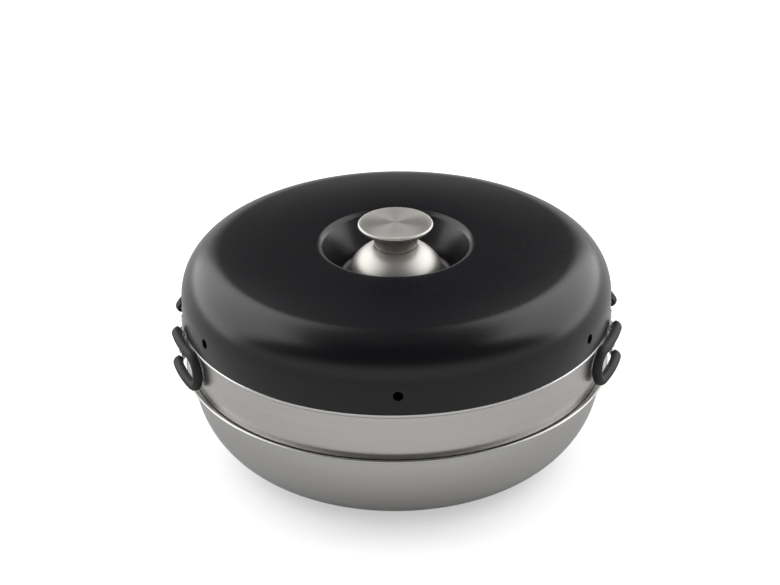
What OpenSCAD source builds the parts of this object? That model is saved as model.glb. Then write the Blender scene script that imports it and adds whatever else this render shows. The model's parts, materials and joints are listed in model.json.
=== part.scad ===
// Folding camp oven for a stove top: a base dish with a flame hole, a ring pan
// with a chimney, a coated lid with a knob, and four fold-away wire grips.
// The origin is on the floor under the centre. +Z is up and the front is -Y.

/* [Lid] */
// Outside diameter of the lid
lid_d = 260; // [246:1:280]
// Height of the lid from its lower edge to its highest ring
lid_h = 45.2; // [42:0.2:56]
// Sheet thickness of the lid
lid_t = 1.5; // [1:0.1:2]
// Outside radius of the rounded shoulder between top and skirt
lid_shoulder_r = 28; // [22:1:30]
// How far the top falls away towards the shoulder, in degrees
lid_fall = 6.3; // [4:0.1:8]
// Diameter of the ring where the centre well begins
well_d = 97; // [90:1:110]
// Depth of the well below its ring
well_depth = 23.5; // [20:0.5:26]
// Steepness of the well's wall, in degrees
well_slope = 64; // [60:1:75]
// Radius of the well's upper edge
well_edge_r = 5; // [3:0.5:7]
// Radius between the well's wall and its floor
well_fillet_r = 4; // [2:0.5:5]
// Number of steam holes in the skirt
vent_count = 6; // [4:1:8]
// Diameter of a steam hole
vent_d = 6; // [4:0.5:7]
// Height of the steam holes above the lid's edge
vent_z = 11.8; // [11:0.2:14]

/* [Knob] */
// Diameter of the steel dome under the knob
dome_d = 55.2; // [48:0.2:56]
// Height of the dome above the floor of the well
dome_h = 21; // [18:0.5:24]
// Diameter of the dome's flat top
dome_flat_d = 26; // [26:0.5:28]
// Height of the dome's straight side
dome_side_h = 11.5; // [8:0.5:14]
// Sheet thickness of the dome
dome_t = 1; // [0.8:0.1:1.4]
// Diameter of the knob's neck at the dome
neck_low_d = 25.6; // [24:0.2:25.8]
// Diameter of the knob's neck under the cap
neck_high_d = 30.4; // [26:0.2:32]
// Height of the neck
neck_h = 12.6; // [10:0.1:15]
// Height of the shadow groove under the neck
neck_groove_h = 0.6; // [0.4:0.1:1.2]
// Diameter of the knob's cap
cap_d = 45.2; // [40:0.2:50]
// Thickness of the cap's rounded rim
cap_rim_h = 2.4; // [2.2:0.1:3.4]
// Rise of the cap's top over its rim
cap_rise = 0.5; // [0.3:0.1:1.5]
// Sheet thickness of the cap
cap_t = 1; // [0.8:0.1:1.4]

/* [Lid fastener] */
// Diameter of the screw
screw_d = 5; // [4:0.5:6]
// Diameter of the screw's head
screw_head_d = 9.5; // [8.5:0.5:12]
// Height of the screw's head
screw_head_h = 3.2; // [2.5:0.1:4]
// Diameter of the flat washer
washer_d = 15; // [12:0.5:20]
// Thickness of the flat washer
washer_t = 1; // [0.8:0.1:1.6]
// Thickness of the split lock washer
lock_t = 1.3; // [1:0.1:1.6]
// Clearance around the screw in the lid and the dome
screw_gap = 0.25; // [0.15:0.05:0.5]

/* [Ring pan] */
// Height of the pan's band between the base rim and the lid's edge
band_h = 31; // [30:0.5:38]
// Sheet thickness of the pan
pan_t = 1; // [0.8:0.1:1.2]
// How much the band narrows from top to bottom, on the radius
band_taper = 2.4; // [1.5:0.1:3]
// Height of the collar that the lid slips over
collar_h = 6.5; // [4:0.5:7]
// Clearance between collar and lid
collar_gap = 0.8; // [0.4:0.1:1]
// Radius of the half-round bead that the lid stands on
bead_r = 1.7; // [1.4:0.1:2]
// Width of the sloping shoulder that seats in the base
seat_w = 2.8; // [2.4:0.1:3.4]
// Draft of the pan's lower wall, in degrees
pan_draft = 12; // [8:1:14]
// Radius between the pan's wall and its floor
pan_corner_r = 14; // [10:1:18]
// Air gap between the base and the pan's floor
air_gap = 20; // [16:1:24]
// Inside radius of the chimney at its top
chimney_r = 24; // [20:1:26]
// Height of the chimney above the pan's collar
chimney_rise = 1; // [0:0.5:3]
// Draft of the chimney, in degrees
chimney_draft = 5; // [3:1:7]
// Radius between the chimney and the pan's floor
chimney_fillet_r = 10; // [6:1:12]

/* [Base dish] */
// Height of the base dish at its rim
base_h = 59; // [56:0.5:66]
// Sheet thickness of the base dish
base_t = 1.2; // [1:0.1:1.6]
// Outside diameter of the flat ring that stands on the stove
foot_d = 150; // [140:1:160]
// Width of that flat ring
foot_w = 22; // [16:1:26]
// Diameter of the flame hole
flame_d = 60; // [50:1:64]
// Height that the centre rises to at the flame hole
cone_h = 14; // [10:1:18]
// Width of the rim that flares out over the bowl
rim_w = 4.9; // [4:0.1:6]
// Upward slope of the rim, in degrees
rim_slope = 20; // [10:1:30]
// Radius of the rim's rolled edge
rim_edge_r = 0.9; // [0.7:0.1:1.2]
// Radius of the bend between bowl and rim
rim_bend_r = 2; // [1.5:0.1:2.5]

/* [Grips] */
// Diameter of the grip wire
wire_d = 3; // [2.6:0.1:3.2]
// Outside diameter of the silicone sleeve
sleeve_d = 6; // [5.4:0.1:6.2]
// Height of a grip between its two bars, centre to centre
grip_h = 20; // [18:0.5:21]
// Length of a grip's curved bars
bar_len = 29; // [22:1:40]
// How far a grip is turned towards the pan when folded, in degrees
grip_tilt = 7.3; // [5:0.1:7.5]
// Radius of the bend beside the hinge
hinge_bend_r = 4; // [3.6:0.1:5]
// Radius of the bend down into the hinge barrel
pin_bend_r = 3; // [2.5:0.1:3.2]
// How far the hinges stand to either side of the bracket's middle
hinge_y = 13; // [11:0.5:16]
// Outside diameter of a hinge barrel
barrel_d = 5.6; // [5.2:0.1:6.4]
// Length of a hinge barrel
barrel_len = 11; // [8:0.5:11.5]
// Radial clearance of the wire in its barrel
hinge_gap = 0.08; // [0.05:0.01:0.1]
// Thickness of the bracket's plate
bracket_t = 1.5; // [1.3:0.1:2]
// Height of the bracket's plate
bracket_h = 13; // [10:0.5:13]
// Diameter of a rivet
rivet_d = 3; // [2.5:0.1:3.5]
// Diameter of a rivet's heads
rivet_head_d = 6; // [5:0.2:7]
// Height of a rivet's outer head
rivet_head_h = 1.1; // [0.8:0.1:1.6]
// How far the rivets stand to either side of the bracket's middle
rivet_y = 5; // [4:0.5:6]

/* [Hidden] */
$fn = 96;

// Clearance between faces that only rest on each other
rest_gap = 0.3;
// Steps in each rounded stretch of a profile
arc_steps = 10;
// Extra length that makes a cut pass right through
cut = 1;
// Grip of the silicone sleeve on its wire
sleeve_squeeze = 0.03;
// Sides of a bent tube, and its steps in the elbow, the hinge bend, the bar and half of the end
tube_sides = 12;
elbow_steps = 4;
bend_steps = 4;
bar_steps = 4;
end_steps = 6;
// How far a bent tube lies inside the round pins, and how deep it reaches into them
tube_inset = 0.02;
pin_overlap = 0.5;

steel_colour = "silver";
black_colour = [0.12, 0.12, 0.13];

lid_r = lid_d / 2;
lid_z = base_h + band_h;
lid_top_z = lid_z + lid_h;
well_z = lid_top_z - well_depth;
screw_r = screw_d / 2;
screw_hole_r = screw_r + screw_gap;

// The pan's collar slips inside the lid, and its bead carries the lid's edge.
collar_r = lid_r - lid_t - collar_gap;
bead_z = lid_z - rest_gap - bead_r;
pan_top_z = lid_z + collar_h;
band_low_r = collar_r - band_taper;
pan_wall_r = band_low_r - seat_w;

// The base's rim bends outwards under the pan's sloping shoulder.
bowl_in_r = (band_low_r + pan_wall_r) / 2;
bowl_r = bowl_in_r + base_t;
rim_in_bend_r = rim_bend_r + base_t;
rim_bend_x = bowl_in_r + rim_in_bend_r;
rim_r = bowl_r + rim_w;
rim_flat_r = rim_bend_x - rim_in_bend_r * sin(rim_slope);
rim_bend_z = base_h - rim_in_bend_r * cos(rim_slope) - (rim_r - rim_flat_r) * tan(rim_slope);
seat_tangent_r = rim_bend_x - rim_in_bend_r * cos(45);
seat_tangent_z = rim_bend_z + rim_in_bend_r * sin(45);
// The shoulder is a 45 degree cone on which z = r - seat_offset.
seat_offset = seat_tangent_r - seat_tangent_z - rest_gap / cos(45);
band_low_z = band_low_r - seat_offset;
band_high_z = bead_z - bead_r;
pan_wall_z = pan_wall_r - seat_offset;
pan_floor_z = base_t + air_gap;

// The grips hang half way up the band.
grip_z = (base_h + lid_z) / 2;
wire_r = wire_d / 2;
sleeve_r = sleeve_d / 2;
barrel_r = barrel_d / 2;
grip_half = grip_h / 2;
hinge_r = band_r(grip_z + barrel_len / 2) + rest_gap + barrel_r;
hinge_x = sqrt(pow(hinge_r, 2) - pow(hinge_y, 2));
hinge_angle = asin(hinge_y / hinge_r);
// Directions of the wire in plan, from the hinge round to the far end.
start_angle = hinge_angle + 40;
bar_angle = hinge_angle + 90 + grip_tilt;
bar_r = hinge_r - 10;
end_angle = bar_angle + bar_len / bar_r * 180 / PI;
// Half of the gap between the two wire ends inside a barrel.
pin_end_z = 0.7;

// Radius of the band's outer face at a height.
function band_r(z) = band_low_r + (collar_r - band_low_r) * (z - band_low_z) / (band_high_z - band_low_z);

// Points on an arc of an ellipse about (x, z), from angle a to angle b.
function arc(x, z, rx, rz, a, b, steps = arc_steps) =
    [for (i = [0:steps]) let (t = a + (b - a) * i / steps) [x + rx * cos(t), z + rz * sin(t)]];

// Unit vector along a step of a path, and the left normal of a vector.
function step_dir(p, q) = (q - p) / norm(q - p);
function left(v) = [-v[1], v[0]];

// A path moved sideways by t, to its left when t is positive, with mitred corners.
function moved(path, t) = let (n = len(path) - 1) [
    for (i = [0:n])
        let (before = left(step_dir(path[max(i - 1, 0)], path[max(i, 1)])),
             after = left(step_dir(path[min(i, n - 1)], path[min(i + 1, n)])))
        path[i] + t * (before + after) / (1 + before * after)
];

function reversed(path) = [for (i = [len(path) - 1:-1:0]) path[i]];

// Sheet metal spun round the Z axis: a path, and the same path t to its left.
module spun_sheet(path, t) {
    rotate_extrude() polygon(concat(path, reversed(moved(path, t))));
}

module ring_at(r, h, z) {
    translate([0, 0, z]) cylinder(r = r, h = h);
}

// Base dish

function base_path() = let (
    foot_r = foot_d / 2,
    foot_in_r = foot_r - foot_w,
    bend = rim_slope + 90
) concat(
    [[flame_d / 2, cone_h], [(flame_d / 2 + foot_in_r) / 2, cone_h * 0.45]],
    [[foot_in_r, 0]],
    arc(foot_r, rim_bend_z, bowl_r - foot_r, rim_bend_z, -90, 0, 24),
    [for (p = arc(rim_bend_x, rim_bend_z, rim_bend_r, rim_bend_r, 180, bend)) if (p[1] > rim_bend_z + 0.01) p],
    [[rim_r - rim_edge_r, rim_bend_z + rim_bend_r * cos(rim_slope)
        + (rim_r - rim_edge_r - rim_bend_x + rim_bend_r * sin(rim_slope)) * tan(rim_slope)]]
);

module base_dish() color(steel_colour) {
    path = base_path();
    edge = path[len(path) - 1] + base_t / 2 * [-sin(rim_slope), cos(rim_slope)];
    spun_sheet(path, base_t);
    rotate_extrude() translate(edge) circle(r = rim_edge_r);
}

// Ring pan

function chimney_path() = let (
    top_z = pan_top_z + chimney_rise,
    bend_z = pan_floor_z + chimney_fillet_r,
    start_z = bend_z - chimney_fillet_r * sin(chimney_draft),
    bend_x = chimney_r + (top_z - start_z) * tan(chimney_draft) + chimney_fillet_r * cos(chimney_draft)
) concat(
    [[chimney_r, top_z]],
    arc(bend_x, bend_z, chimney_fillet_r, chimney_fillet_r, 180 + chimney_draft, 270)
);

function pan_wall_path() = let (
    bend_z = pan_floor_z + pan_corner_r,
    end_z = bend_z - pan_corner_r * sin(pan_draft),
    bend_x = pan_wall_r - (pan_wall_z - end_z) * tan(pan_draft) - pan_corner_r * cos(pan_draft)
) concat(
    arc(bend_x, bend_z, pan_corner_r, pan_corner_r, -90, -pan_draft),
    [[pan_wall_r, pan_wall_z], [band_low_r, band_low_z]],
    arc(collar_r, bead_z, bead_r, bead_r, -90, 90),
    [[collar_r, pan_top_z]]
);

module ring_pan() color(steel_colour) difference() {
    spun_sheet(concat(chimney_path(), pan_wall_path()), pan_t);
    for (side = [0, 180]) rotate(side) at_rivets() rivet_hole();
}

// Lid

function well_path() = let (
    crest_r = well_d / 2,
    edge_z = lid_top_z - well_edge_r,
    slope_top = [crest_r - well_edge_r * sin(well_slope), edge_z + well_edge_r * cos(well_slope)],
    slope_low_z = well_z + well_fillet_r * (1 - cos(well_slope)),
    slope_low_r = slope_top[0] - (slope_top[1] - slope_low_z) / tan(well_slope),
    floor_r = slope_low_r - well_fillet_r * sin(well_slope)
) concat(
    [[screw_hole_r, well_z]],
    arc(floor_r, well_z + well_fillet_r, well_fillet_r, well_fillet_r, -90, well_slope - 90),
    arc(crest_r, edge_z, well_edge_r, well_edge_r, 90 + well_slope, 90)
);

function lid_top_path() = let (
    crest_r = well_d / 2,
    shoulder_x = lid_r - lid_shoulder_r,
    top_end_r = shoulder_x + lid_shoulder_r * sin(lid_fall),
    top_r = (top_end_r - crest_r) / sin(lid_fall),
    shoulder_z = lid_top_z - top_r * (1 - cos(lid_fall)) - lid_shoulder_r * cos(lid_fall)
) concat(
    [for (p = arc(crest_r, lid_top_z - top_r, top_r, top_r, 90, 90 - lid_fall)) if (p[0] > crest_r + 0.01) p],
    [for (p = arc(shoulder_x, shoulder_z, lid_shoulder_r, lid_shoulder_r, 90 - lid_fall, 0, 20))
        if (p[0] > top_end_r + 0.01) p],
    [[lid_r, lid_z]]
);

module lid_shell() color(black_colour) difference() {
    spun_sheet(concat(well_path(), lid_top_path()), -lid_t);
    for (i = [0:vent_count - 1])
        rotate(i * 360 / vent_count)
            translate([0, 0, lid_z + vent_z]) rotate([90, 0, 0])
                translate([0, 0, lid_r - 2 * lid_t - cut]) cylinder(d = vent_d, h = 3 * lid_t + 2 * cut);
}

// Knob and what holds it

dome_top_z = well_z + dome_h;
neck_top_z = dome_top_z + neck_h;
cap_top_z = neck_top_z + cap_rim_h + cap_rise;

module knob_dome() color(steel_colour) {
    flat_r = dome_flat_d / 2;
    side_z = well_z + dome_side_h;
    spun_sheet(concat(
        [[screw_hole_r, dome_top_z]],
        arc(flat_r, side_z, dome_d / 2 - flat_r, dome_top_z - side_z, 90, 0, 14),
        [[dome_d / 2, well_z]]
    ), -dome_t);
}

// The cap's folded rim grips a spigot on top of the neck.
spigot_r = neck_high_d / 2 - cap_t;

module knob_neck() color(steel_colour) difference() {
    union() {
        ring_at(neck_low_d / 2 - 1, neck_groove_h, dome_top_z);
        rotate_extrude() polygon([
            [0, dome_top_z + neck_groove_h],
            [neck_low_d / 2, dome_top_z + neck_groove_h],
            [(neck_low_d + neck_high_d) / 4 - 0.4, (dome_top_z + neck_top_z) / 2 + neck_groove_h],
            [neck_high_d / 2, neck_top_z],
            [spigot_r, neck_top_z],
            [spigot_r, cap_top_z - cap_rise - cap_t],
            [0, cap_top_z - cap_rise - cap_t]
        ]);
    }
    ring_at(screw_r, neck_h, dome_top_z - cut);
}

module knob_cap() color(steel_colour) {
    edge_r = cap_rim_h / 2;
    edge_x = cap_d / 2 - edge_r;
    edge_z = neck_top_z + edge_r;
    spun_sheet(concat(
        [[0, cap_top_z], [edge_x / 4, cap_top_z], [edge_x * 0.7, cap_top_z - cap_rise * 0.4]],
        arc(edge_x, edge_z, edge_r, edge_r, 90, -90, 14),
        [[spigot_r, neck_top_z]]
    ), -cap_t);
}

lock_z = well_z - lid_t - washer_t - lock_t;

module flat_washer() color(steel_colour) difference() {
    ring_at(washer_d / 2, washer_t, lock_z + lock_t);
    ring_at(screw_hole_r, washer_t + 2 * cut, lock_z + lock_t - cut);
}

module lock_washer() color(steel_colour) difference() {
    ring_at(screw_head_d / 2, lock_t, lock_z);
    ring_at(screw_hole_r, lock_t + 2 * cut, lock_z - cut);
    translate([0, -lock_t / 4, lock_z - cut]) rotate(20) cube([screw_head_d, lock_t / 2, lock_t + 2 * cut]);
}

module lid_screw() color(steel_colour) difference() {
    union() {
        ring_at(screw_head_d / 2, screw_head_h, lock_z - screw_head_h);
        ring_at(screw_r, neck_top_z - 2 * cut - lock_z, lock_z);
    }
    for (turn = [0, 90])
        rotate(turn) translate([-screw_d / 2, -0.5, lock_z - screw_head_h - cut])
            cube([screw_d, 1, screw_head_h / 2 + cut]);
}

// Brackets and rivets, drawn on the +X side

band_lean = atan((collar_r - band_low_r) / (band_high_z - band_low_z));

// Puts a shape at each rivet, with its +X axis square out of the band's face.
module at_rivets() {
    for (side = [-1, 1])
        rotate(side * asin(rivet_y / hinge_r))
            translate([band_r(grip_z), 0, grip_z])
                rotate([0, band_lean, 0]) children();
}

module along_x(r, from, to) {
    translate([from, 0, 0]) rotate([0, 90, 0]) cylinder(r = r, h = to - from);
}

module rivet_hole() along_x(rivet_d / 2, -pan_t - cut, bracket_t + cut);

module rivets() color(steel_colour) at_rivets() {
    along_x(rivet_d / 2, -pan_t, bracket_t);
    along_x(rivet_head_d / 2, bracket_t, bracket_t + rivet_head_h / 2);
    translate([bracket_t + rivet_head_h / 2, 0, 0]) rotate([0, 90, 0])
        cylinder(d1 = rivet_head_d, d2 = rivet_head_d * 0.6, h = rivet_head_h / 2);
    along_x(rivet_head_d / 2, -pan_t - rivet_head_h / 2, -pan_t);
}

module bracket() color(steel_colour) difference() {
    low_z = grip_z - bracket_h / 2;
    high_z = grip_z + bracket_h / 2;
    union() {
        intersection() {
            rotate_extrude() polygon([
                [band_r(low_z), low_z],
                [band_r(low_z) + bracket_t, low_z],
                [band_r(high_z) + bracket_t, high_z],
                [band_r(high_z), high_z]
            ]);
            translate([hinge_x - 4 * bracket_t - barrel_d, -hinge_y, low_z - cut])
                cube([6 * barrel_d, 2 * hinge_y, bracket_h + 2 * cut]);
        }
        at_hinges() cylinder(r = barrel_r, h = barrel_len, center = true);
    }
    at_hinges() cylinder(r = wire_r + hinge_gap, h = bracket_h + 2 * cut, center = true);
    at_rivets() rivet_hole();
}

module at_hinges() {
    for (side = [-1, 1]) translate([hinge_x, side * hinge_y, grip_z]) children();
}

// Grips, drawn on the +X and +Y side with the hinge axis as origin

function plan_dir(angle) = [cos(angle), sin(angle)];

bend_start = pin_bend_r * plan_dir(start_angle);
bend_centre = bend_start + hinge_bend_r * plan_dir(start_angle + 90);
bar_start = bend_centre + hinge_bend_r * plan_dir(bar_angle - 90);
bar_centre = bar_start + bar_r * plan_dir(bar_angle + 90);
bar_end = bar_centre + bar_r * plan_dir(end_angle - 90);

// The upper half of a grip's centre line, from the hinge to the middle of its round end.
function elbow_line() = [for (i = [0:elbow_steps - 1]) let (t = 180 - 90 * i / elbow_steps)
    concat(pin_bend_r * (1 + cos(t)) * plan_dir(start_angle), grip_half - pin_bend_r + pin_bend_r * sin(t))];

function plan_line(centre, r, from, to, steps) = [for (i = [0:steps - 1])
    concat(centre + r * plan_dir(from + (to - from) * i / steps - 90), grip_half)];

function end_line() = [for (i = [0:end_steps]) let (t = 90 - 90 * i / end_steps)
    concat(bar_end + grip_half * cos(t) * plan_dir(end_angle), grip_half * sin(t))];

function covered_half() = concat(
    plan_line(bend_centre, hinge_bend_r, start_angle, bar_angle, bend_steps),
    plan_line(bar_centre, bar_r, bar_angle, end_angle, bar_steps),
    end_line()
);

// A centre line and its mirror image below the grip's middle.
function both_halves(half) = concat(half, [for (i = [len(half) - 2:-1:0]) [half[i][0], half[i][1], -half[i][2]]]);

// Directions along a line in space, and sideways directions carried along it without a twist.
function tangents(line) = let (n = len(line) - 1)
    [for (i = [0:n]) step_dir(line[max(i - 1, 0)], line[min(i + 1, n)])];

function square_to(v, t) = let (w = v - (v * t) * t) w / norm(w);

function sideways(along, first) = [for (i = 0, v = square_to(first, along[0]); i < len(along);
    i = i + 1, v = i < len(along) ? square_to(v, along[i]) : v) v];

function tube_points(line, r) = let (along = tangents(line), side = sideways(along, [0.31, -0.95, 0.02]))
    [for (i = [0:len(line) - 1], j = [0:tube_sides - 1]) let (t = 360 * j / tube_sides)
        line[i] + r * (cos(t) * side[i] + sin(t) * cross(along[i], side[i]))];

// Two triangles across four corners.
function pair(a, b, c, d) = [[a, b, c], [a, c, d]];

// The skin of a tube whose points begin at first, turned inside out for a bore.
function skin(rings, first, inside = false) = [
    for (i = [0:rings - 2], j = [0:tube_sides - 1])
        let (a = first + i * tube_sides + j, b = first + i * tube_sides + (j + 1) % tube_sides)
        for (face = inside ? pair(a, b, b + tube_sides, a + tube_sides) : pair(a, a + tube_sides, b + tube_sides, b)) face
];

module solid_tube(line, r) {
    rings = len(line);
    last = (rings - 1) * tube_sides;
    polyhedron(
        points = tube_points(line, r),
        faces = concat(
            skin(rings, 0),
            [[for (j = [0:tube_sides - 1]) j], [for (j = [tube_sides - 1:-1:0]) last + j]]
        )
    );
}

module hollow_tube(line, r, bore_r) {
    rings = len(line);
    bore = rings * tube_sides;
    last = bore - tube_sides;
    polyhedron(
        points = concat(tube_points(line, r), tube_points(line, bore_r)),
        faces = concat(
            skin(rings, 0),
            skin(rings, bore, true),
            [for (j = [0:tube_sides - 1]) let (k = (j + 1) % tube_sides)
                for (face = concat(pair(j, k, bore + k, bore + j),
                    pair(last + k, last + j, bore + last + j, bore + last + k))) face]
        )
    );
}

// The bent stretch is a many-sided tube that starts a little way inside the round pins.
module grip_wire() color(steel_colour) {
    pin_top_z = grip_half - pin_bend_r;
    half = concat([[0, 0, pin_top_z - pin_overlap]], elbow_line(), covered_half());
    solid_tube(both_halves(half), wire_r - tube_inset);
    for (level = [0, 1]) mirror([0, 0, level])
        translate([0, 0, pin_end_z]) cylinder(r = wire_r, h = pin_top_z - pin_end_z);
}

module grip_sleeve() color(black_colour)
    hollow_tube(both_halves(covered_half()), sleeve_r, wire_r - tube_inset - sleeve_squeeze);

// Puts a shape at a hinge. Side 1 is right or back, and -1 is left or front.
module at_grip(side_x, side_y) {
    mirror([side_x < 0 ? 1 : 0, 0, 0]) mirror([0, side_y < 0 ? 1 : 0, 0])
        translate([hinge_x, hinge_y, grip_z]) children();
}

base_dish();
ring_pan();
lid_shell();
knob_dome();
knob_neck();
knob_cap();
lid_screw();
flat_washer();
lock_washer();
bracket();  // right_bracket
mirror([1, 0, 0]) bracket();  // left_bracket
rivets();  // right_rivets
mirror([1, 0, 0]) rivets();  // left_rivets
at_grip(1, -1) grip_wire();  // right_front_wire
at_grip(1, 1) grip_wire();  // right_back_wire
at_grip(-1, -1) grip_wire();  // left_front_wire
at_grip(-1, 1) grip_wire();  // left_back_wire
at_grip(1, -1) grip_sleeve();  // right_front_sleeve
at_grip(1, 1) grip_sleeve();  // right_back_sleeve
at_grip(-1, -1) grip_sleeve();  // left_front_sleeve
at_grip(-1, 1) grip_sleeve();  // left_back_sleeve
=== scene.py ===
"""Dresses the camping oven: spun steel dish and pan, coated lid and knob, brackets and wire grips."""

import json
import math

import bpy
from mathutils import Matrix, Vector


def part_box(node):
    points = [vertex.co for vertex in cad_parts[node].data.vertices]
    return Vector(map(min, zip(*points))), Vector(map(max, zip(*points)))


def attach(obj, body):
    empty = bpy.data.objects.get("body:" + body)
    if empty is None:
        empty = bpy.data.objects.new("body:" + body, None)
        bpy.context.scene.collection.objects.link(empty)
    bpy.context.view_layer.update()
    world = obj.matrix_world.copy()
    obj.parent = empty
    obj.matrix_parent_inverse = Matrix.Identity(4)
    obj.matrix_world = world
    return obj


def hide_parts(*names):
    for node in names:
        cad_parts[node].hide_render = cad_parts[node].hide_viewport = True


bl_info = {
    "name": "Camping Oven",
    "version": (1, 0, 0),
    "blender": (4, 5, 0),
    "location": "View3D > Sidebar > Camping Oven",
    "description": "Builds the visible pieces, finishes and studio of a stove-top camping oven",
    "category": "Object",
}

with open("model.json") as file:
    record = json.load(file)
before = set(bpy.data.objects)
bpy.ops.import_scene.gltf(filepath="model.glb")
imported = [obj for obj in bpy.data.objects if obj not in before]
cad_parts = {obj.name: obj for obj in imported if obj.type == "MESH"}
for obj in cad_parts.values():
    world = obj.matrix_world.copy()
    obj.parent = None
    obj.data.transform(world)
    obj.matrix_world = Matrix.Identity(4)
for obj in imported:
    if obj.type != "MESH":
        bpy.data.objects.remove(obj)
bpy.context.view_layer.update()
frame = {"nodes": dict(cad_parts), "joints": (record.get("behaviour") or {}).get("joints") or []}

MM = 0.001
TURN = 2 * math.pi
MERGE_DISTANCE = 0.000002
COPY_MERGE_DISTANCE = 0.000001
AXIS_RADIUS = 0.01  # millimetres from the axis within which an outline counts as meeting it
REST_GAP = 0.3  # millimetres between pieces that rest on each other


# Places read from the frame, in metres


def low(node):
    """The lowest corner of a node of the frame."""
    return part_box(node)[0]


def high(node):
    """The highest corner of a node of the frame."""
    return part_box(node)[1]


LID_EDGE_Z = low("lid_shell")[2] / MM
LID_TOP_Z = high("lid_shell")[2] / MM
LID_R = high("lid_shell")[1] / MM
RIM_R = high("base_dish")[1] / MM
RIM_TOP_Z = high("base_dish")[2] / MM
PAN_TOP_Z = high("ring_pan")[2] / MM
PAN_FLOOR_Z = low("ring_pan")[2] / MM
DOME_FOOT_Z = low("knob_dome")[2] / MM
DOME_TOP_Z = high("knob_dome")[2] / MM
DOME_R = high("knob_dome")[1] / MM
CAP_TOP_Z = high("knob_cap")[2] / MM
CAP_R = high("knob_cap")[1] / MM
CAP_LOW_Z = low("knob_cap")[2] / MM


# Outlines, as lists of (radius, height) points in millimetres


def arc(x, z, rx, rz, start, end, steps=12):
    """Points on an arc of an ellipse about (x, z), between two angles in degrees."""
    angles = [math.radians(start + (end - start) * i / steps) for i in range(steps + 1)]
    return [Vector((x + rx * math.cos(t), z + rz * math.sin(t))) for t in angles]


def points(*pairs):
    """Points from pairs of a radius and a height."""
    return [Vector(pair) for pair in pairs]


def without_doubles(path, nearest=0.005):
    """A path without the points that lie on top of the one before."""
    kept = [path[0]]
    for point in path[1:]:
        if (point - kept[-1]).length > nearest:
            kept.append(point)
    return kept


def moved(path, distance):
    """A path moved sideways, to its left when distance is positive, with mitred corners."""
    steps = [(b - a).normalized() for a, b in zip(path, path[1:])]
    lefts = [Vector((-step.y, step.x)) for step in steps]
    result = []
    for i, point in enumerate(path):
        before = lefts[max(i - 1, 0)]
        after = lefts[min(i, len(lefts) - 1)]
        result.append(point + (before + after) * (distance / (1 + before.dot(after))))
    return result


def eased_end(near, far, inward, share=0.3, pull=0.3):
    """The cut end of a sheet, from one face to the other, with both corners rounded a little."""
    across = far - near
    size = across.length * share
    step = across.normalized() * size
    back = inward.normalized() * size
    first = [near + back, near + (back + step) * pull, near + step]
    last = [far - step, far + (back - step) * pull, far + back]
    return first + last


def sheet(path, thickness):
    """The closed outline of sheet metal that follows a path, with its thickness on the path's left."""
    path = without_doubles(path)
    other = moved(path, thickness)
    finish = eased_end(path[-1], other[-1], path[-2] - path[-1])
    start = eased_end(other[0], path[0], path[1] - path[0])
    if path[0].x < AXIS_RADIUS:
        start = [other[0], path[0]]
    return path[1:-1] + finish + other[-2:0:-1] + start


# Modelling


def only(piece):
    """Selects one object and nothing else."""
    bpy.ops.object.select_all(action="DESELECT")
    piece.select_set(True)
    bpy.context.view_layer.objects.active = piece


def apply_all(piece):
    """Applies all modifiers of a piece."""
    only(piece)
    for modifier in list(piece.modifiers):
        bpy.ops.object.modifier_apply(modifier=modifier.name)


def smoothed(piece, angle=32):
    """Shades a piece smooth, but for edges sharper than an angle in degrees."""
    only(piece)
    bpy.ops.object.shade_smooth_by_angle(angle=math.radians(angle))
    return piece


def settled(piece, name):
    """Names a finished piece and puts its place into its mesh."""
    only(piece)
    bpy.ops.object.transform_apply(location=True, rotation=True, scale=True)
    piece.name = name
    piece.data.name = name
    return piece


def cleaned():
    """Merges doubled points and turns all faces outwards, in edit mode."""
    bpy.ops.mesh.select_all(action="SELECT")
    bpy.ops.mesh.remove_doubles(threshold=MERGE_DISTANCE)
    bpy.ops.mesh.normals_make_consistent(inside=False)


def spun(name, outline, steps=192):
    """Spins a closed outline round the Z axis. An outline that meets the axis is left open there."""
    bpy.ops.object.select_all(action="DESELECT")
    first = outline[0] * MM
    bpy.ops.mesh.primitive_plane_add(size=MM, location=(first.x, 0, first.y))
    piece = bpy.context.active_object
    bpy.ops.object.mode_set(mode="EDIT")
    bpy.ops.mesh.merge(type="CENTER")
    meets_axis = max(outline[0].x, outline[-1].x) < AXIS_RADIUS
    loop = outline if meets_axis else outline + outline[:1]
    for here, there in zip(loop, loop[1:]):
        step = (there - here) * MM
        bpy.ops.mesh.extrude_vertices_move(TRANSFORM_OT_translate={"value": (step.x, 0, step.y)})
    bpy.ops.mesh.select_all(action="SELECT")
    bpy.ops.mesh.remove_doubles(threshold=MERGE_DISTANCE)
    bpy.ops.mesh.select_all(action="SELECT")
    bpy.ops.mesh.spin(steps=steps, angle=TURN, center=(0, 0, 0), axis=(0, 0, 1))
    cleaned()
    bpy.ops.object.mode_set(mode="OBJECT")
    return smoothed(settled(piece, name))


def refined(node, name, bevel=0.12):
    """A merged, smooth copy of a node of the frame, with its edges eased."""
    only(frame["nodes"][node])
    bpy.ops.object.duplicate()
    piece = bpy.context.active_object
    piece.parent = None
    bpy.ops.object.mode_set(mode="EDIT")
    bpy.ops.mesh.select_all(action="SELECT")
    bpy.ops.mesh.remove_doubles(threshold=COPY_MERGE_DISTANCE)
    bpy.ops.mesh.dissolve_limited(angle_limit=math.radians(1))
    bpy.ops.object.mode_set(mode="OBJECT")
    edge = piece.modifiers.new("Eased edges", "BEVEL")
    edge.width = bevel * MM
    edge.segments = 2
    edge.limit_method = "ANGLE"
    edge.angle_limit = math.radians(40)
    edge.use_clamp_overlap = True
    apply_all(piece)
    return smoothed(settled(piece, name))


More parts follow.
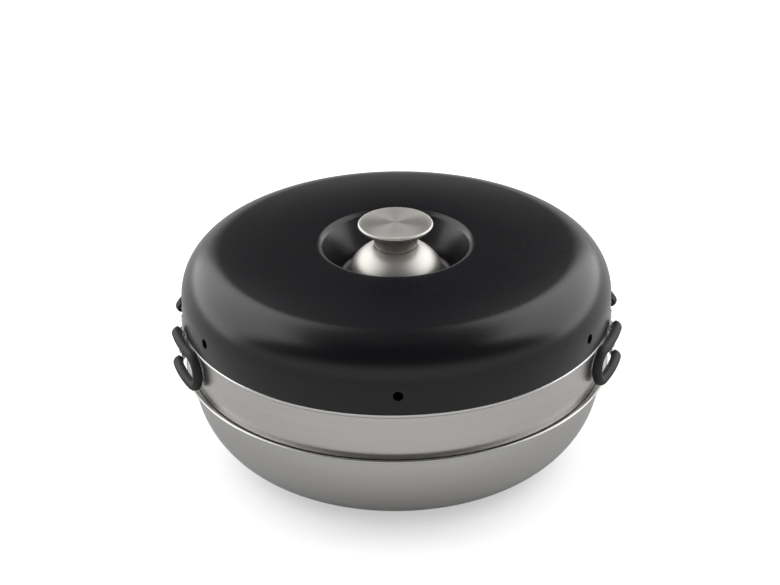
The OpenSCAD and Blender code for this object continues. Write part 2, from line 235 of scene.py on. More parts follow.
def bored(piece, cutters):
    """Cuts the cutters out of a piece and deletes them."""
    for cutter in cutters:
        cut = piece.modifiers.new("Hole", "BOOLEAN")
        cut.operation = "DIFFERENCE"
        cut.solver = "EXACT"
        cut.object = cutter
        apply_all(piece)
        bpy.data.objects.remove(cutter, do_unlink=True)
    return smoothed(piece)


def finish_piece(piece, body, nodes, material):
    """Gives a piece its material and its body, and hides the nodes of the frame that it stands for."""
    piece.data.materials.clear()
    piece.data.materials.append(material)
    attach(piece, body)
    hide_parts(*nodes)


# Materials


class Value:
    """A number from a shader socket. Arithmetic on it adds Math nodes."""

    def __init__(self, graph, socket):
        self.graph = graph
        self.socket = socket

    def __add__(self, other):
        return self.graph.math("ADD", self, other)

    def __sub__(self, other):
        return self.graph.math("SUBTRACT", self, other)

    def __rsub__(self, other):
        return self.graph.math("SUBTRACT", other, self)

    def __mul__(self, other):
        return self.graph.math("MULTIPLY", self, other)

    def __truediv__(self, other):
        return self.graph.math("DIVIDE", self, other)

    def __pow__(self, other):
        return self.graph.math("POWER", self, other)


class Graph:
    """The nodes of one material or of the world."""

    def __init__(self, tree):
        self.tree = tree
        tree.nodes.clear()

    def node(self, kind, inputs=None, settings=None):
        """Adds a node, with its settings first and then the values or links of its sockets."""
        made = self.tree.nodes.new(kind)
        for key, value in (settings or {}).items():
            setattr(made, key, value)
        for key, value in (inputs or {}).items():
            self.feed(made.inputs[key], value)
        return made

    def feed(self, socket, value):
        """Links a value to a socket, or sets a plain number or colour."""
        if isinstance(value, Value):
            self.tree.links.new(value.socket, socket)
        else:
            socket.default_value = value

    def get(self, kind, inputs=None, settings=None, output=0):
        """The value that one output of a new node gives."""
        return Value(self, self.node(kind, inputs, settings).outputs[output])

    def math(self, operation, first, second=0.0):
        return self.get("ShaderNodeMath", {0: first, 1: second}, {"operation": operation})

    def here(self):
        """The object's own coordinates."""
        return self.get("ShaderNodeTexCoord", output="Object")

    def split(self, vector):
        """The X, Y and Z of a vector."""
        return [Value(self, socket) for socket in self.node("ShaderNodeSeparateXYZ", {0: vector}).outputs]

    def rays(self):
        """One on camera rays, and one on mirrored or refracted rays."""
        ray = self.node("ShaderNodeLightPath").outputs
        mirror = Value(self, ray["Is Glossy Ray"]) + Value(self, ray["Is Transmission Ray"])
        return Value(self, ray["Is Camera Ray"]), mirror

    def end(self, shader, kind="ShaderNodeOutputMaterial"):
        """Links a shader to an output of its own."""
        self.tree.links.new(shader.outputs[0], self.node(kind).inputs[0])

    def vector(self, x, y, z):
        return self.get("ShaderNodeCombineXYZ", {0: x, 1: y, 2: z})

    def noise(self, vector, scale, detail=2.0, w=None):
        settings = {"noise_dimensions": "3D" if w is None else "4D"}
        inputs = {"Vector": vector, "Scale": scale, "Detail": detail}
        if w is not None:
            inputs["W"] = w
        return self.get("ShaderNodeTexNoise", inputs, settings)

    def blend(self, factor, first, second):
        """A colour between two colours."""
        inputs = {"Factor": factor, 6: first, 7: second}
        return self.get("ShaderNodeMix", inputs, {"data_type": "RGBA"}, output=2)

    def bump(self, height, strength, distance):
        return self.get("ShaderNodeBump", {"Height": height, "Strength": strength, "Distance": distance})


def new_material(name):
    """A new material and the graph of its nodes."""
    material = bpy.data.materials.new(name)
    material.use_nodes = True
    return material, Graph(material.node_tree)


def surfaced(graph, inputs):
    """Ends a material in a Principled shader."""
    graph.end(graph.node("ShaderNodeBsdfPrincipled", inputs))


def rgba(colour, factor=1.0):
    """A colour made lighter or darker by a factor, with full alpha."""
    return (*[channel * factor for channel in colour], 1.0)


def round_streaks(graph, pitch, slow=5.0, detail=3.0):
    """Fine lines that run round the Z axis, each about pitch millimetres wide."""
    x, y, z = graph.split(graph.here())
    radius = (x * x + y * y + 1e-9) ** 0.5
    fast = 1 / (pitch * MM)
    way = graph.vector(x / radius * slow, y / radius * slow, z * fast)
    return graph.noise(way, 1.0, detail, w=radius * fast)


def spun_steel(name, colour, rough, anisotropic=0.6, pitch=0.5):
    """Stainless steel with brushing round the axis and faint handling marks."""
    material, graph = new_material(name)
    lines = round_streaks(graph, pitch)
    bands = round_streaks(graph, pitch * 9, slow=1.6, detail=1.0)
    marks = graph.noise(graph.here(), 26.0, 4.0)
    tone = lines * 0.6 + bands * 0.4
    surfaced(
        graph,
        {
            "Base Color": graph.blend(tone, rgba(colour, 0.9), rgba(colour, 1.06)),
            "Metallic": 1.0,
            "Roughness": lines * 0.12 + marks * 0.07 + (rough - 0.095),
            "Anisotropic": anisotropic,
            "Normal": graph.bump(lines, 0.12, 0.00003),
        },
    )
    return material


def coated_black(name, colour, rough, specular):
    """Satin non-stick coating: a fine grain and a slow change of gloss."""
    material, graph = new_material(name)
    here = graph.here()
    grain = graph.noise(here, 2600.0, 2.0)
    cloud = graph.noise(here, 14.0, 3.0)
    surfaced(
        graph,
        {
            "Base Color": graph.blend(cloud, rgba(colour, 0.88), rgba(colour, 1.12)),
            "Roughness": cloud * 0.06 + grain * 0.05 + (rough - 0.055),
            "Specular IOR Level": specular,
            "Normal": graph.bump(grain, 0.10, 0.00004),
        },
    )
    return material


def plain_steel(name, colour, rough):
    """Drawn or pressed steel with a slightly uneven gloss."""
    material, graph = new_material(name)
    here = graph.here()
    fine = graph.noise(here, 1400.0, 2.0)
    cloud = graph.noise(here, 120.0, 3.0)
    surfaced(
        graph,
        {
            "Base Color": graph.blend(cloud, rgba(colour, 0.9), rgba(colour, 1.05)),
            "Metallic": 1.0,
            "Roughness": fine * 0.1 + cloud * 0.08 + (rough - 0.09),
            "Normal": graph.bump(fine, 0.08, 0.00003),
        },
    )
    return material


def silicone(name, colour, rough):
    """Matte moulded silicone with a fine grain and a little dust."""
    material, graph = new_material(name)
    here = graph.here()
    grain = graph.noise(here, 1900.0, 3.0)
    dust = graph.noise(here, 90.0, 4.0)
    surfaced(
        graph,
        {
            "Base Color": graph.blend(dust, rgba(colour, 0.8), rgba(colour, 1.4)),
            "Roughness": grain * 0.12 + (rough - 0.06),
            "Specular IOR Level": 0.4,
            "Normal": graph.bump(grain, 0.18, 0.00006),
        },
    )
    return material


# Settings


def number_setting(name, description, default, **limits):
    return bpy.props.FloatProperty(name=name, description=description, default=default, **limits)


def vector_setting(name, description, default, subtype):
    return bpy.props.FloatVectorProperty(name=name, description=description, subtype=subtype, default=default)


def colour_setting(name, description, default):
    return vector_setting(name, description, default, "COLOR")


def place_setting(name, description, default):
    return vector_setting(name, description, default, "TRANSLATION")


class OVEN_dish_settings(bpy.types.PropertyGroup):
    """Sizes and colour of the base dish, in millimetres."""

    sheet: number_setting("Sheet", "Thickness of the sheet", 1.2, min=0.8)
    foot_radius: number_setting("Foot", "Outer radius of the flat foot", 75)
    foot_width: number_setting("Foot width", "Width of the flat foot", 22)
    flame_radius: number_setting("Flame hole", "Radius of the flame hole", 30)
    cone_height: number_setting("Cone", "Height of the flame hole's edge", 14)
    rim_width: number_setting("Rim", "Width of the flared rim", 4.9)
    rim_slope: number_setting("Rim slope", "Slope of the rim in degrees", 20)
    rim_edge: number_setting("Rim edge", "Radius of the rolled edge", 0.9)
    rim_bend: number_setting("Rim bend", "Radius of the bend under the rim", 2)
    colour: colour_setting("Colour", "Colour of the steel", (0.58, 0.572, 0.562))
    roughness: number_setting("Roughness", "Roughness of the steel", 0.33)


class OVEN_pan_settings(bpy.types.PropertyGroup):
    """Sizes and colour of the ring pan, in millimetres."""

    sheet: number_setting("Sheet", "Thickness of the sheet", 1.0, min=0.6)
    collar_gap: number_setting("Collar gap", "Gap inside the lid", 0.8)
    taper: number_setting("Taper", "Narrowing of the band", 2.4)
    bead: number_setting("Bead", "Radius of the bead under the lid", 1.7)
    seat: number_setting("Seat", "Width of the sloping seat", 2.8)
    draft: number_setting("Draft", "Draft of the wall in degrees", 12)
    corner: number_setting("Corner", "Radius at the floor", 14)
    chimney: number_setting("Chimney", "Inner radius at the top", 24)
    chimney_draft: number_setting("Chimney draft", "Draft in degrees", 5)
    chimney_foot: number_setting("Chimney foot", "Radius at the floor", 10)
    collar: number_setting("Collar", "Height inside the lid", 6.5)
    colour: colour_setting("Colour", "Colour of the steel", (0.63, 0.615, 0.60))
    roughness: number_setting("Roughness", "Roughness of the steel", 0.30)


class OVEN_lid_settings(bpy.types.PropertyGroup):
    """Sizes and colour of the lid, in millimetres."""

    sheet: number_setting("Sheet", "Thickness of the sheet", 1.5, min=1)
    shoulder: number_setting("Shoulder", "Radius of the shoulder", 28)
    fall: number_setting("Fall", "Slope of the top at its edge in degrees", 6.3)
    well_radius: number_setting("Well", "Radius of the well's ring", 48.5)
    well_slope: number_setting("Well slope", "Slope of the well's wall", 64)
    well_edge: number_setting("Well edge", "Radius of the well's edge", 5)
    well_fillet: number_setting("Well fillet", "Radius at the well's floor", 4)
    vent_count: bpy.props.IntProperty(name="Vents", description="Number of steam holes", default=6)
    vent_radius: number_setting("Vent radius", "Radius of a steam hole", 3)
    vent_height: number_setting("Vent height", "Height over the edge", 11.8)
    hole: number_setting("Screw hole", "Radius of the screw hole", 2.75)
    colour: colour_setting("Colour", "Colour of the coating", (0.0022, 0.0022, 0.0032))
    roughness: number_setting("Roughness", "Roughness of the coating", 0.28)
    specular: number_setting("Specular", "Reflection of the coating", 0.37)


class OVEN_knob_settings(bpy.types.PropertyGroup):
    """Sizes and colour of the knob, in millimetres."""

    sheet: number_setting("Sheet", "Thickness of dome and cap", 1.0)
    dome_flat: number_setting("Dome flat", "Radius of the dome's flat top", 13)
    dome_side: number_setting("Dome side", "Height of the dome's straight side", 8)
    dome_slope: number_setting("Dome slope", "One is a round shoulder and two a plain cone", 1.45)
    neck_low: number_setting("Neck low", "Neck radius at the dome", 12.8)
    neck_high: number_setting("Neck high", "Neck radius at the cap", 15.2)
    groove: number_setting("Groove", "Height of the groove under the neck", 0.6)
    cap_rise: number_setting("Cap rise", "Rise of the cap over its rim", 0.5)
    colour: colour_setting("Colour", "Colour of the steel", (0.54, 0.524, 0.495))
    roughness: number_setting("Roughness", "Roughness of the steel", 0.45)


class OVEN_grip_settings(bpy.types.PropertyGroup):
    """Sizes and colours of the wire grips and their brackets, in millimetres."""

    wire: number_setting("Wire", "Radius of the wire", 1.5)
    sleeve: number_setting("Sleeve", "Outer radius of the sleeve", 3.0)
    height: number_setting("Height", "Height between the bars", 20)
    bar: number_setting("Bar", "Length of a bar", 29)
    tilt: number_setting("Tilt", "Turn towards the pan in degrees", 7.3)
    start: number_setting("Start", "Turn of the first bend from the hinge in degrees", 40)
    inset: number_setting("Inset", "Distance of a bar's centre from the oven's axis", 10)
    hinge_bend: number_setting("Hinge bend", "Radius beside the hinge", 4)
    pin_gap: number_setting("Pin gap", "Height at which a pin starts over the hinge's middle", 1)
    pin_bend: number_setting("Pin bend", "Radius into the barrel", 3)
    sleeve_colour: colour_setting("Sleeve colour", "Colour of the silicone", (0.005, 0.0052, 0.005))
    steel_colour: colour_setting("Steel colour", "Colour of wire and brackets", (0.58, 0.57, 0.56))


class OVEN_stage_settings(bpy.types.PropertyGroup):
    """Camera, floor and lights of the studio."""

    lens: number_setting("Lens", "Focal length in millimetres", 118.66)
    camera: place_setting("Camera", "Place of the camera", (-0.0038, -1.3873, 0.8143))
    target: place_setting("Target", "What the camera looks at", (-0.0038, 0, 0.1007))
    roll: number_setting("Roll", "Tilt of the picture in degrees", -0.75)
    floor_colour: colour_setting("Floor", "Colour of the floor", (0.9, 0.9, 0.9))
    floor_glow: number_setting("Floor glow", "Share of plain white in the floor", 0.42)
    mirror_glow: number_setting("Glow in reflections", "Share of that white in reflections", 0.63)
    floor_mirror: number_setting("Floor in reflections", "Brightness of that white in reflections", 0.08)
    sky: number_setting("Sky", "Brightness of the soft light all round", 1.12)
    horizon: number_setting("Horizon", "Low brightness in reflections", 0.9)
    ceiling: number_setting("Ceiling", "Brightness overhead in reflections", 0.02)
    horizon_end: number_setting("Horizon end", "Height up to which reflections see the horizon", 0.08)
    ceiling_start: number_setting("Ceiling start", "Height from which reflections see the ceiling", 0.32)
    front_lift: number_setting("Front lift", "How much higher the horizon reaches in front", 0.36)
    side_power: number_setting("Side lights", "Power of each side light", 27)
    top_power: number_setting("Top light", "Power of the top light", 0.2)
    light_out: number_setting("Lights out", "Distance to the side", 1.1)
    light_back: number_setting("Lights back", "Distance to the back", 0.6)
    light_height: number_setting("Lights up", "Height of the lights", 0.9)


# Pieces


def rim_places(dish):
    """Radius and height of the bend under the dish's rim, and of the end of the rim's lower face."""
    slope = math.radians(dish.rim_slope)
    bend_x = RIM_R - dish.rim_width + dish.rim_bend
    end_x = RIM_R - dish.rim_edge
    end_z = RIM_TOP_Z - dish.rim_edge - dish.sheet / 2 * math.cos(slope)
    leave_x = bend_x - dish.rim_bend * math.sin(slope)
    bend_z = end_z - (end_x - leave_x) * math.tan(slope) - dish.rim_bend * math.cos(slope)
    return bend_x, bend_z, end_x, end_z


class OVEN_OT_dish(bpy.types.Operator):
    """Builds the base dish."""

    bl_idname = "oven.dish"
    bl_label = "Base dish"

    def execute(self, context):
        s = context.scene.oven_dish
        edge = s.rim_edge
        slope = math.radians(s.rim_slope)
        bowl_r = RIM_R - s.rim_width
        bend_x, bend_z, end_x, end_z = rim_places(s)
        middle = Vector((end_x - s.sheet / 2 * math.sin(slope), RIM_TOP_Z - edge))
        foot_in = s.foot_radius - s.foot_width
        path = (
            points((s.flame_radius, s.cone_height))
            + [Vector(((s.flame_radius + foot_in) / 2, s.cone_height * 0.45))]
            + arc(foot_in, 4, 9, 4, 215, 270, 5)
            + arc(s.foot_radius, bend_z, bowl_r - s.foot_radius, bend_z, -90, 0, 40)
            + arc(bend_x, bend_z, s.rim_bend, s.rim_bend, 180, 90 + s.rim_slope, 10)
            + points((end_x, end_z))
        )
        path = without_doubles(path)
        other = moved(path, s.sheet)
        roll = arc(middle.x, middle.y, edge, edge, s.rim_slope - 128, s.rim_slope + 128, 18)
        start = eased_end(other[0], path[0], path[1] - path[0])
        piece = spun("base_dish_steel", path[1:-1] + roll + other[-2:0:-1] + start)
        material = spun_steel("Dish steel", s.colour, s.roughness)
        finish_piece(piece, "base", ["base_dish"], material)
        return {"FINISHED"}


class OVEN_OT_pan(bpy.types.Operator):
    """Builds the ring pan with its chimney and collar."""

    bl_idname = "oven.pan"
    bl_label = "Ring pan"

    def execute(self, context):
        s = context.scene.oven_pan
        lid = context.scene.oven_lid
        dish = context.scene.oven_dish
        collar_r = LID_R - lid.sheet - s.collar_gap
        bead_z = LID_EDGE_Z - REST_GAP - s.bead
        collar_top = LID_EDGE_Z + s.collar
        low_r = collar_r - s.taper
        wall_r = low_r - s.seat
        seat_low_z = self.seat_height(dish, wall_r)
        foot_z = PAN_FLOOR_Z + s.chimney_foot
        draft = math.radians(s.chimney_draft)
        start_z = foot_z - s.chimney_foot * math.sin(draft)
        foot_x = s.chimney + (PAN_TOP_Z - start_z) * math.tan(draft) + s.chimney_foot * math.cos(draft)
        lean = math.radians(s.draft)
        corner_z = PAN_FLOOR_Z + s.corner
        end_z = corner_z - s.corner * math.sin(lean)
        corner_x = wall_r - (seat_low_z - end_z) * math.tan(lean) - s.corner * math.cos(lean)
        path = (
            points((s.chimney, PAN_TOP_Z))
            + arc(foot_x, foot_z, s.chimney_foot, s.chimney_foot, 180 + s.chimney_draft, 270)
            + arc(corner_x, corner_z, s.corner, s.corner, -90, -s.draft, 16)
            + points((wall_r, seat_low_z), (low_r, seat_low_z + s.seat))
            + arc(collar_r, bead_z, s.bead, s.bead, -90, 90, 14)
            + points((collar_r, collar_top))
        )
        piece = spun("ring_pan_steel", sheet(path, s.sheet))
        material = spun_steel("Pan steel", s.colour, s.roughness)
        finish_piece(piece, "pan", ["ring_pan"], material)
        return {"FINISHED"}

    def seat_height(self, dish, wall_r):
        """Height of the foot of the pan's seat, a 45 degree cone that rests on the bend in the dish's rim."""
        bend_x, bend_z, _, _ = rim_places(dish)
        diagonal = math.cos(math.pi / 4)
        across = (dish.rim_bend + dish.sheet) * diagonal
        tangent_r = bend_x - across
        tangent_z = bend_z + across
        return wall_r - (tangent_r - tangent_z - REST_GAP / diagonal)


class OVEN_OT_lid(bpy.types.Operator):
    """Builds the coated lid with its well and steam holes."""

    bl_idname = "oven.lid"
    bl_label = "Lid"

    def execute(self, context):
        s = context.scene.oven_lid
        slope = math.radians(s.well_slope)
        fall = math.radians(s.fall)
        edge_z = LID_TOP_Z - s.well_edge
        top_x = s.well_radius - s.well_edge * math.sin(slope)
        top_z = edge_z + s.well_edge * math.cos(slope)
        low_z = DOME_FOOT_Z + s.well_fillet * (1 - math.cos(slope))
        low_x = top_x - (top_z - low_z) / math.tan(slope)
        floor_x = low_x - s.well_fillet * math.sin(slope)
        shoulder_x = LID_R - s.shoulder
        top_end = shoulder_x + s.shoulder * math.sin(fall)
        top_r = (top_end - s.well_radius) / math.sin(fall)
        shoulder_z = LID_TOP_Z - top_r * (1 - math.cos(fall)) - s.shoulder * math.cos(fall)
        path = (
            points((s.hole, DOME_FOOT_Z))
            + arc(floor_x, DOME_FOOT_Z + s.well_fillet, s.well_fillet, s.well_fillet, -90, s.well_slope - 90)
            + arc(s.well_radius, edge_z, s.well_edge, s.well_edge, 90 + s.well_slope, 90, 16)
            + arc(s.well_radius, LID_TOP_Z - top_r, top_r, top_r, 90, 90 - s.fall, 14)
            + arc(shoulder_x, shoulder_z, s.shoulder, s.shoulder, 90 - s.fall, 0, 40)
            + points((LID_R, LID_EDGE_Z))
        )
        piece = spun("lid_coated", sheet(path, -s.sheet), 240)
        bored(piece, self.vent_cutters(s))
        material = coated_black("Lid coating", s.colour, s.roughness, s.specular)
        finish_piece(piece, "lid", ["lid_shell"], material)
        return {"FINISHED"}

    def vent_cutters(self, s):
        """One round cutter for each steam hole."""
        cutters = []
        for i in range(s.vent_count):
            angle = TURN * i / s.vent_count - math.pi / 2
            place = (math.cos(angle) * LID_R, math.sin(angle) * LID_R, LID_EDGE_Z + s.vent_height)
            bpy.ops.object.select_all(action="DESELECT")
            bpy.ops.mesh.primitive_cylinder_add(
                vertices=40,
                radius=s.vent_radius * MM,
                depth=6 * s.sheet * MM,
                location=Vector(place) * MM,
                rotation=(0, math.pi / 2, angle),
            )
            cutters.append(bpy.context.active_object)
        return cutters


class OVEN_OT_knob(bpy.types.Operator):
    """Builds the knob's dome, neck and cap."""

    bl_idname = "oven.knob"
    bl_label = "Knob"
    steps = 144

    def execute(self, context):
        s = context.scene.oven_knob
        hole = context.scene.oven_lid.hole
        steel = spun_steel("Knob steel", s.colour, s.roughness, anisotropic=0.55, pitch=0.3)
        dome = points((hole, DOME_TOP_Z)) + self.dome_shoulder(s) + points((DOME_R, DOME_FOOT_Z))
        piece = spun("knob_dome_steel", sheet(dome, -s.sheet), self.steps)
        finish_piece(piece, "lid", ["knob_dome"], steel)
        piece = spun("knob_neck_steel", self.neck_outline(s), self.steps)
        finish_piece(piece, "lid", ["knob_neck"], steel)
        edge = (CAP_TOP_Z - s.cap_rise - CAP_LOW_Z) / 2
        edge_x = CAP_R - edge
        flat = edge_x * 0.25
        cap = (
            points((0, CAP_TOP_Z), (flat, CAP_TOP_Z))
            + arc(flat, CAP_TOP_Z - s.cap_rise, edge_x - flat, s.cap_rise, 90, 20, 8)
            + arc(edge_x, CAP_LOW_Z + edge, edge, edge, 88, -90, 20)
            + points((s.neck_high - s.sheet, CAP_LOW_Z))
        )
        piece = spun("knob_cap_steel", sheet(cap, -s.sheet), self.steps)
        finish_piece(piece, "lid", ["knob_cap"], steel)
        return {"FINISHED"}

    def dome_shoulder(self, s):
        """The slope from the dome's flat top to its straight side, between a quarter round and a cone."""
        side_z = DOME_FOOT_Z + s.dome_side
        width = DOME_R - s.dome_flat
        rise = DOME_TOP_Z - side_z
        quarter = arc(0, 0, 1, 1, 90, 0, 32)
        shares = [(abs(point.x) ** s.dome_slope, abs(point.y) ** s.dome_slope) for point in quarter]
        return [Vector((s.dome_flat + width * out, side_z + rise * up)) for out, up in shares]

    def neck_outline(self, s, ease=0.3, recess=1, flare=1.35, steps=10):
        """A turned neck that flares into the cap, over a narrow groove."""
        groove_r = s.neck_low - recess
        groove_z = DOME_TOP_Z + s.groove
        spigot_r = s.neck_high - s.sheet
        spigot_z = CAP_TOP_Z - s.cap_rise - s.sheet
        wider = s.neck_high - s.neck_low
        low_z = groove_z + ease
        shares = [i / steps for i in range(steps + 1)]
        side = [Vector((s.neck_low + wider * t**flare, low_z + (CAP_LOW_Z - low_z) * t)) for t in shares]
        groove = points((0, DOME_TOP_Z), (groove_r, DOME_TOP_Z), (groove_r, groove_z))
        spigot = points((spigot_r, CAP_LOW_Z), (spigot_r, spigot_z), (0, spigot_z))
        return groove + points((s.neck_low - ease, groove_z)) + side + spigot


class OVEN_OT_fasteners(bpy.types.Operator):
    """Builds the screw, washers, rivets and brackets from the frame's own shapes."""

    bl_idname = "oven.fasteners"
    bl_label = "Fasteners and brackets"

    def execute(self, context):
        s = context.scene.oven_grip
        steel = plain_steel("Fastener steel", s.steel_colour, 0.32)
        pressed = plain_steel("Bracket steel", s.steel_colour, 0.38)
        for node in ("lid_screw", "flat_washer", "lock_washer"):
            finish_piece(refined(node, node + "_steel"), "lid", [node], steel)
        for side in ("right", "left"):
            rivets = refined(side + "_rivets", side + "_rivets_steel", 0.3)
            finish_piece(rivets, "pan", [side + "_rivets"], steel)
            bracket = refined(side + "_bracket", side + "_bracket_steel", 0.15)
            finish_piece(bracket, "pan", [side + "_bracket"], pressed)
        return {"FINISHED"}


class OVEN_OT_grips(bpy.types.Operator):
    """Builds the four wire grips with their silicone sleeves."""

    bl_idname = "oven.grips"
    bl_label = "Grips"

    def execute(self, context):
        s = context.scene.oven_grip
        wire_steel = plain_steel("Wire steel", s.steel_colour, 0.28)
        rubber = silicone("Sleeve silicone", s.sleeve_colour, 0.62)
        for joint in frame["joints"]:
            if not joint["name"].endswith("_fold"):
                continue
            name = joint["name"][: -len("_fold")]
            hinge = Vector(joint["pos_m"])
            wire = self.tube(s, name + "_wire_steel", hinge, s.wire, with_pins=True)
            finish_piece(wire, name + "_grip", [name + "_wire"], wire_steel)
            sleeve = self.tube(s, name + "_sleeve_silicone", hinge, s.sleeve, with_pins=False)
            finish_piece(sleeve, name + "_grip", [name + "_sleeve"], rubber)
        return {"FINISHED"}

    def tube(self, s, name, hinge, radius, with_pins):
        """Sweeps a ring from the upper end to the lower one by a row of spins, then closes both ends."""
        half = s.height / 2
        quarter = math.pi / 2
        up = Vector((0, 0, 1))
        hinge_angle = math.atan2(abs(hinge.y), abs(hinge.x))
        start = hinge_angle + math.radians(s.start)
        bar = hinge_angle + quarter + math.radians(s.tilt)
        bar_r = math.hypot(hinge.x, hinge.y) / MM - s.inset
        end = bar + s.bar / bar_r

        def way(angle):
            return Vector((math.cos(angle), math.sin(angle), 0))

        bend_start = way(start) * s.pin_bend
        bend_centre = bend_start + way(start + quarter) * s.hinge_bend
        bar_centre = bend_centre + way(bar - quarter) * s.hinge_bend + way(bar + quarter) * bar_r
        bar_end = bar_centre + way(end - quarter) * bar_r
        pin_axis = way(start + quarter)
        pin_z = half - s.pin_bend

        first, facing = bend_start + up * half, way(start)
        if with_pins:
            first, facing = up * s.pin_gap, up
        turn = up.rotation_difference(facing).to_euler()
        bpy.ops.object.select_all(action="DESELECT")
        bpy.ops.mesh.primitive_circle_add(vertices=32, radius=radius * MM, location=first * MM, rotation=turn)
        piece = settled(bpy.context.active_object, name)
        bpy.ops.object.mode_set(mode="EDIT")
        bpy.ops.mesh.select_all(action="SELECT")
        if with_pins:
            self.rise(pin_z - s.pin_gap)
            self.spin(bend_start + up * pin_z, pin_axis, quarter, 10)
        self.spin(bend_centre + up * half, up, bar - start, 12)
        self.spin(bar_centre + up * half, up, end - bar, 16)
        self.spin(bar_end, way(end + quarter), math.pi, 32)
        self.spin(bar_centre - up * half, -up, end - bar, 16)
        self.spin(bend_centre - up * half, -up, bar - start, 12)
        if with_pins:
            self.spin(bend_start - up * pin_z, pin_axis, quarter, 10)
            self.rise(pin_z - s.pin_gap)
        bpy.ops.mesh.select_all(action="SELECT")
        bpy.ops.mesh.region_to_loop()
        bpy.ops.mesh.edge_face_add()
        cleaned()
        bpy.ops.object.mode_set(mode="OBJECT")
        edge = piece.modifiers.new("Eased ends", "BEVEL")
        edge.width = (0.3 if with_pins else 0.7) * MM
        edge.segments = 3
        edge.limit_method = "ANGLE"
        edge.angle_limit = math.radians(60)
        apply_all(piece)
        piece.scale = (math.copysign(1, hinge.x), math.copysign(1, hinge.y), 1)
        settled(piece, name)
        piece.location = hinge
        settled(piece, name)
        bpy.ops.object.mode_set(mode="EDIT")
        cleaned()
        bpy.ops.object.mode_set(mode="OBJECT")
        return smoothed(piece, 40)

    def rise(self, distance):
        """Draws the selected ring straight up and leaves the new end selected."""
        bpy.ops.mesh.extrude_edges_move(TRANSFORM_OT_translate={"value": (0, 0, distance * MM)})

    def spin(self, centre, axis, angle, steps):
        """Sweeps the selected ring round an axis and leaves the new end selected."""
        bpy.ops.mesh.spin(steps=steps, angle=-angle, center=centre * MM, axis=axis)


# Stage


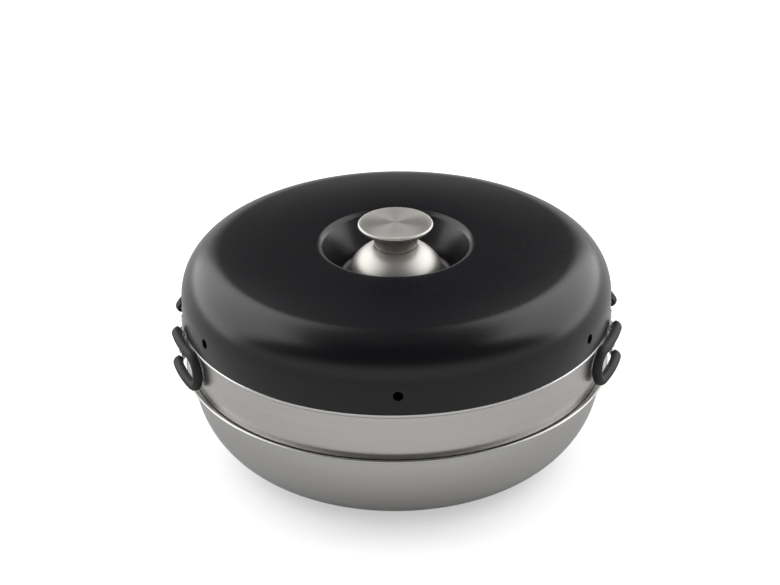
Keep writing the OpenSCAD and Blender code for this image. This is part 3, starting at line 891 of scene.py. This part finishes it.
class OVEN_OT_stage(bpy.types.Operator):
    """Builds the floor, the lights, the world and the camera."""

    bl_idname = "oven.stage"
    bl_label = "Studio"
    side_size = (1.9, 1.7)
    top_size = (0.8, 0.6)
    top_place = (0, 0.1, 1.5)
    aim = (0, 0, 0.1)

    def execute(self, context):
        s = context.scene.oven_stage
        scene = context.scene
        scene.view_settings.view_transform = "Standard"
        self.floor(s)
        self.world(scene, s)
        for side in (-1, 1):
            self.softbox((side * s.light_out, s.light_back, s.light_height), self.side_size, s.side_power)
        self.softbox(self.top_place, self.top_size, s.top_power)
        self.camera(scene, s)
        return {"FINISHED"}

    def world(self, scene, s):
        """White for the camera, bright low and dark overhead in reflections, and even for soft light."""
        world = bpy.data.worlds.new("Studio")
        scene.world = world
        world.use_nodes = True
        graph = Graph(world.node_tree)
        _, back, height = graph.split(graph.get("ShaderNodeTexCoord", output="Generated"))
        front = graph.math("MAXIMUM", back * -1.0, 0.0)
        lowered = height - front * s.front_lift
        heights = {"From Min": s.horizon_end, "From Max": s.ceiling_start}
        tones = {"To Min": s.horizon, "To Max": s.ceiling}
        settings = {"interpolation_type": "SMOOTHSTEP"}
        low_white = graph.get("ShaderNodeMapRange", {"Value": lowered, **heights, **tones}, settings)
        camera, mirror = graph.rays()
        strength = camera + mirror * low_white + (1 - camera - mirror) * s.sky
        sky = graph.node("ShaderNodeBackground", {"Color": (1, 1, 1, 1), "Strength": strength})
        graph.end(sky, "ShaderNodeOutputWorld")

    def floor(self, s):
        """A white floor that keeps the oven's shadow."""
        bpy.ops.object.select_all(action="DESELECT")
        bpy.ops.mesh.primitive_plane_add(size=24)
        floor = settled(bpy.context.active_object, "floor")
        material, graph = new_material("Floor white")
        plain = graph.node("ShaderNodeBsdfDiffuse", {"Color": rgba(s.floor_colour)})
        camera, mirror = graph.rays()
        strength = camera + mirror * s.floor_mirror
        glow = graph.node("ShaderNodeEmission", {"Color": (1, 1, 1, 1), "Strength": strength})
        mix = graph.node("ShaderNodeMixShader", {0: camera * s.floor_glow + mirror * s.mirror_glow})
        graph.tree.links.new(plain.outputs[0], mix.inputs[1])
        graph.tree.links.new(glow.outputs[0], mix.inputs[2])
        graph.end(mix)
        floor.data.materials.append(material)

    def softbox(self, place, size, power):
        """A soft rectangular light that faces the oven."""
        bpy.ops.object.light_add(type="AREA", location=place)
        light = bpy.context.active_object
        light.data.shape = "RECTANGLE"
        light.data.size, light.data.size_y = size
        light.data.energy = power
        way = Vector(self.aim) - Vector(place)
        light.rotation_euler = way.to_track_quat("-Z", "Y").to_euler()

    def camera(self, scene, s):
        """The camera of the photograph, fitted to the oven's outline."""
        bpy.ops.object.camera_add(location=s.camera)
        camera = bpy.context.active_object
        camera.data.lens = s.lens
        camera.data.sensor_width = 36
        camera.data.clip_start, camera.data.clip_end = 0.01, 50
        look = (Vector(s.target) - Vector(s.camera)).to_track_quat("-Z", "Y").to_matrix()
        tilt = Matrix.Rotation(math.radians(s.roll), 3, "Z")
        camera.rotation_euler = (look @ tilt).to_euler()
        scene.camera = camera


class OVEN_PT_panel(bpy.types.Panel):
    """Lists the operators and settings of the oven."""

    bl_idname = "OVEN_PT_panel"
    bl_label = "Camping Oven"
    bl_space_type = "VIEW_3D"
    bl_region_type = "UI"
    bl_category = "Camping Oven"

    def draw(self, context):
        for name, (group, operator) in PARTS.items():
            box = self.layout.box()
            box.operator(operator.bl_idname)
            if group is None:
                continue
            settings = getattr(context.scene, name)
            for key in group.__annotations__:
                box.prop(settings, key)


PARTS = {
    "oven_stage": (OVEN_stage_settings, OVEN_OT_stage),
    "oven_dish": (OVEN_dish_settings, OVEN_OT_dish),
    "oven_pan": (OVEN_pan_settings, OVEN_OT_pan),
    "oven_lid": (OVEN_lid_settings, OVEN_OT_lid),
    "oven_knob": (OVEN_knob_settings, OVEN_OT_knob),
    "oven_grip": (OVEN_grip_settings, OVEN_OT_grips),
    "oven_fasteners": (None, OVEN_OT_fasteners),
}


def register():
    for name, (group, operator) in PARTS.items():
        if group is not None:
            bpy.utils.register_class(group)
            setattr(bpy.types.Scene, name, bpy.props.PointerProperty(type=group))
        bpy.utils.register_class(operator)
    bpy.utils.register_class(OVEN_PT_panel)


def unregister():
    bpy.utils.unregister_class(OVEN_PT_panel)
    for name, (group, operator) in reversed(PARTS.items()):
        bpy.utils.unregister_class(operator)
        if group is not None:
            delattr(bpy.types.Scene, name)
            bpy.utils.unregister_class(group)


def main():
    register()
    bpy.ops.oven.stage()
    bpy.ops.oven.dish()
    bpy.ops.oven.pan()
    bpy.ops.oven.lid()
    bpy.ops.oven.knob()
    bpy.ops.oven.fasteners()
    bpy.ops.oven.grips()


if __name__ == "__main__":
    main()
